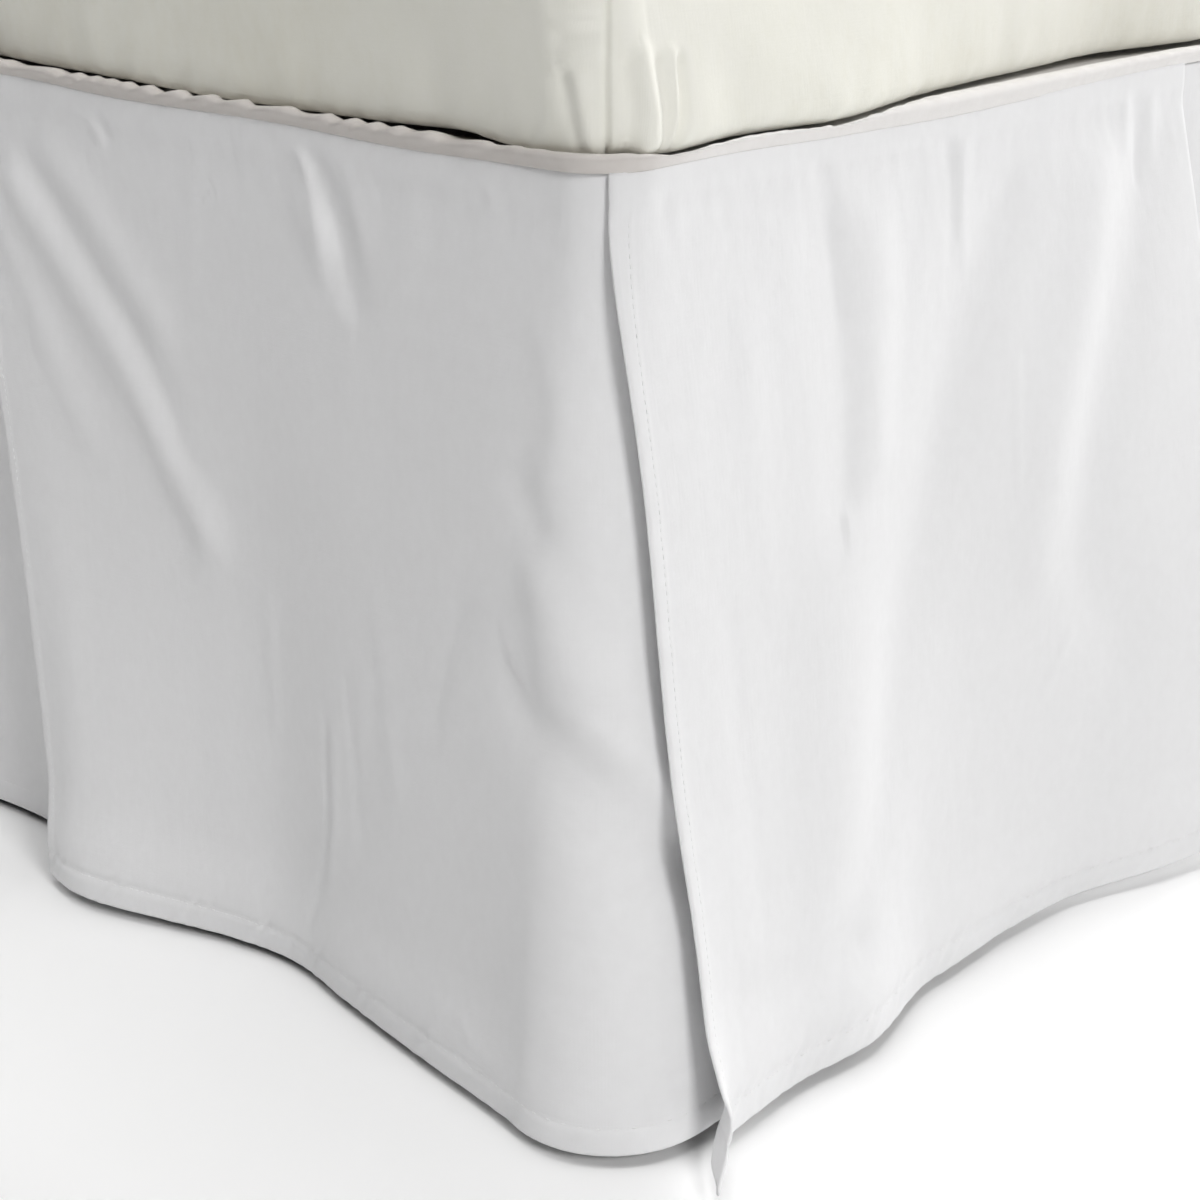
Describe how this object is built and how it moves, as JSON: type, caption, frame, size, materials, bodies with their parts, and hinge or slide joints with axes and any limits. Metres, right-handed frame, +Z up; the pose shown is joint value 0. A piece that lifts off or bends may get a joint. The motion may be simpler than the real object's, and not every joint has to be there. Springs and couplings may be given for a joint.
{
  "type": "tailored bed skirt on a box spring bed with its mattress",
  "caption": "White tailored bed skirt with split corners and lapped, hemmed flat drop panels, hanging in soft folds from its deck cloth between box spring and mattress.",
  "frame": {"origin": "middle of the centre leg's flat foot, on the floor under the middle of the bed", "axes": "+Z up, +Y to the head of the bed, +X to the right side of someone who stands at the foot and looks to the head"},
  "size_m": [1.5982, 2.1027, 0.6481],
  "materials": {
    "skirt_cotton": "matt white plain-weave cotton with stitched hems",
    "mattress_cotton": "matt cream cotton cover",
    "box_cloth": "matt grey base cloth",
    "leg_wood": "satin stained wood"
  },
  "bodies": {
    "root": {"skirt_deck": "skirt_cotton", "skirt_left_1": "skirt_cotton", "skirt_left_2": "skirt_cotton", "skirt_left_3": "skirt_cotton", "skirt_left_4": "skirt_cotton", "skirt_left_5": "skirt_cotton", "skirt_right_1": "skirt_cotton", "skirt_right_2": "skirt_cotton", "skirt_right_3": "skirt_cotton", "skirt_right_4": "skirt_cotton", "skirt_right_5": "skirt_cotton", "skirt_foot_1": "skirt_cotton", "skirt_foot_2": "skirt_cotton", "skirt_foot_3": "skirt_cotton", "skirt_foot_4": "skirt_cotton", "mattress": "mattress_cotton", "box_spring": "box_cloth", "leg_centre": "leg_wood", "leg_head_left": "leg_wood", "leg_head_right": "leg_wood", "leg_foot_left": "leg_wood", "leg_foot_right": "leg_wood"}
  },
  "joints": []
}
